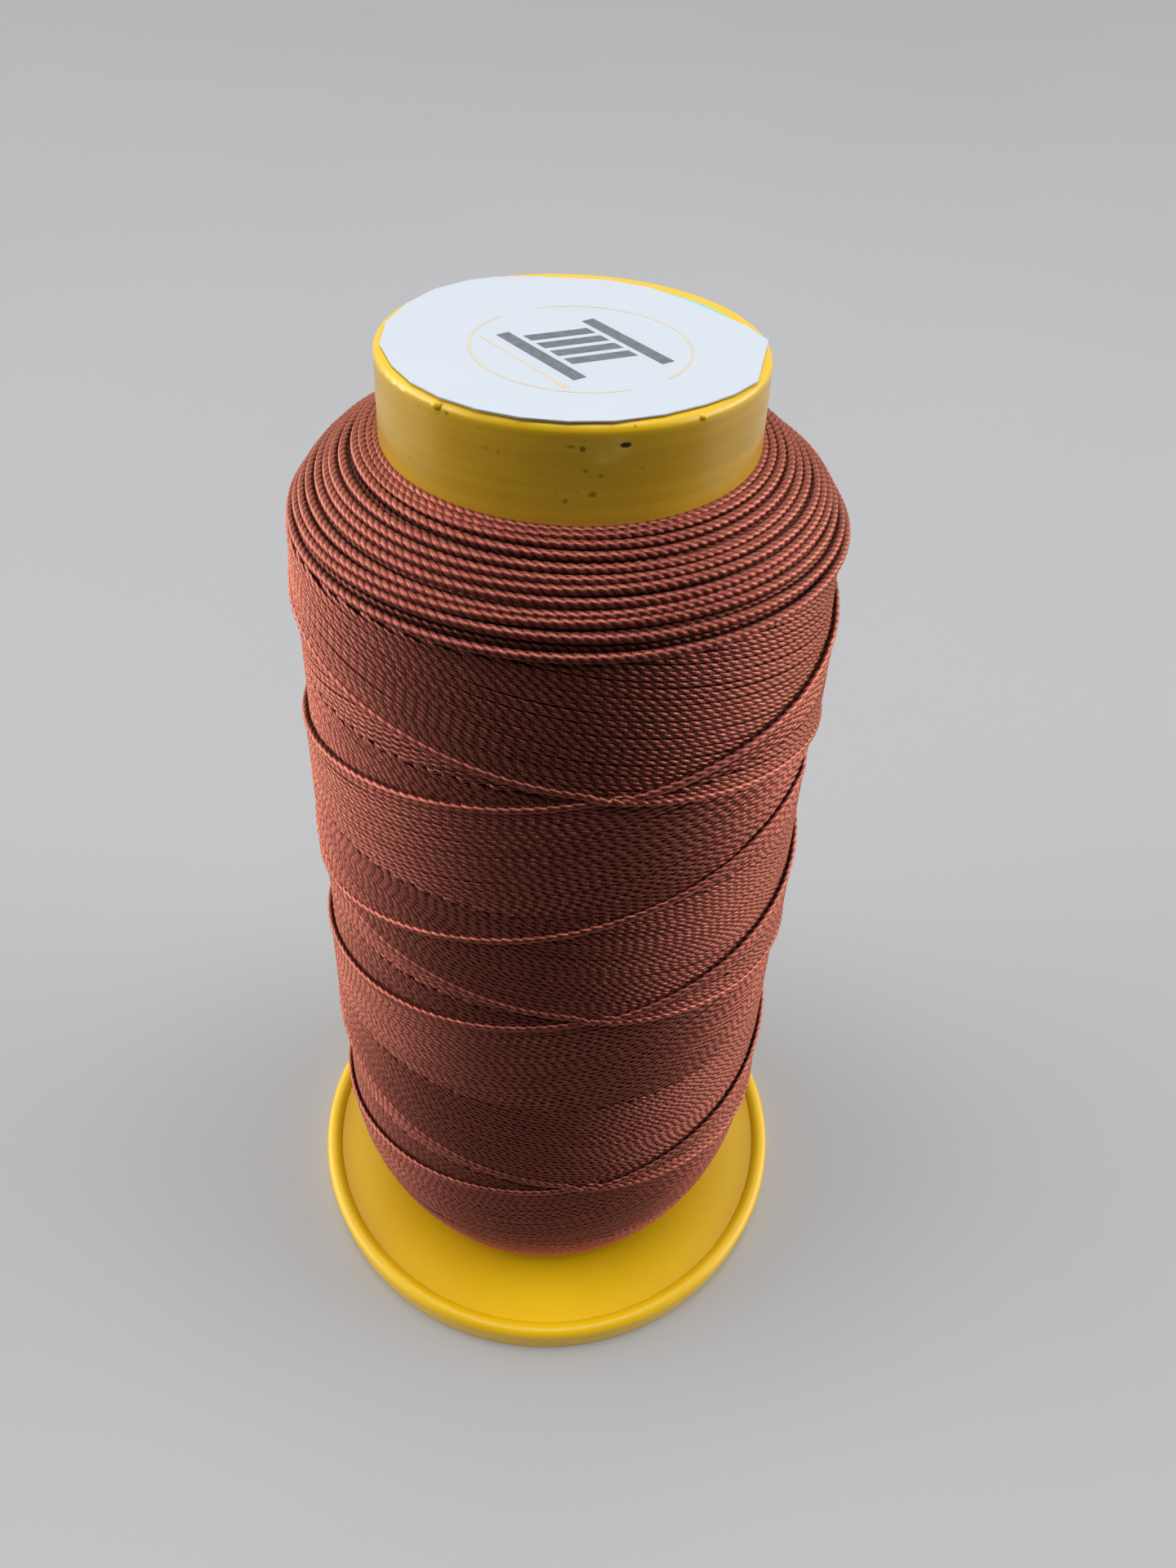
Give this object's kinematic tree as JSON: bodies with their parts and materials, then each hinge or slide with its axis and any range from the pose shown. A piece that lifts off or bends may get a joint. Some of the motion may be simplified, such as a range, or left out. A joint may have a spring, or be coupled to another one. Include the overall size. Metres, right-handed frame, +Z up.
{
  "type": "thread spool",
  "caption": "Tall king spool of twisted reddish-brown thread on a hollow tapered yellow barrel with a wide round base flange and a paper label on top.",
  "frame": {"origin": "middle of the round foot that the spool stands on", "axes": "+Z up along the spool's axis, -Y towards the side that the picture shows"},
  "size_m": [0.08, 0.08, 0.1476],
  "materials": {
    "base_plastic": "satin",
    "barrel_plastic": "satin",
    "thread": "satin",
    "under_label_paper": "satin",
    "label_paper": "satin"
  },
  "bodies": {
    "root": {"base_flange": "base_plastic", "barrel": "barrel_plastic", "inner_winding": "thread", "outer_winding": "thread", "shoulder_turns": "thread", "under_label": "under_label_paper", "top_label": "label_paper"}
  },
  "joints": []
}
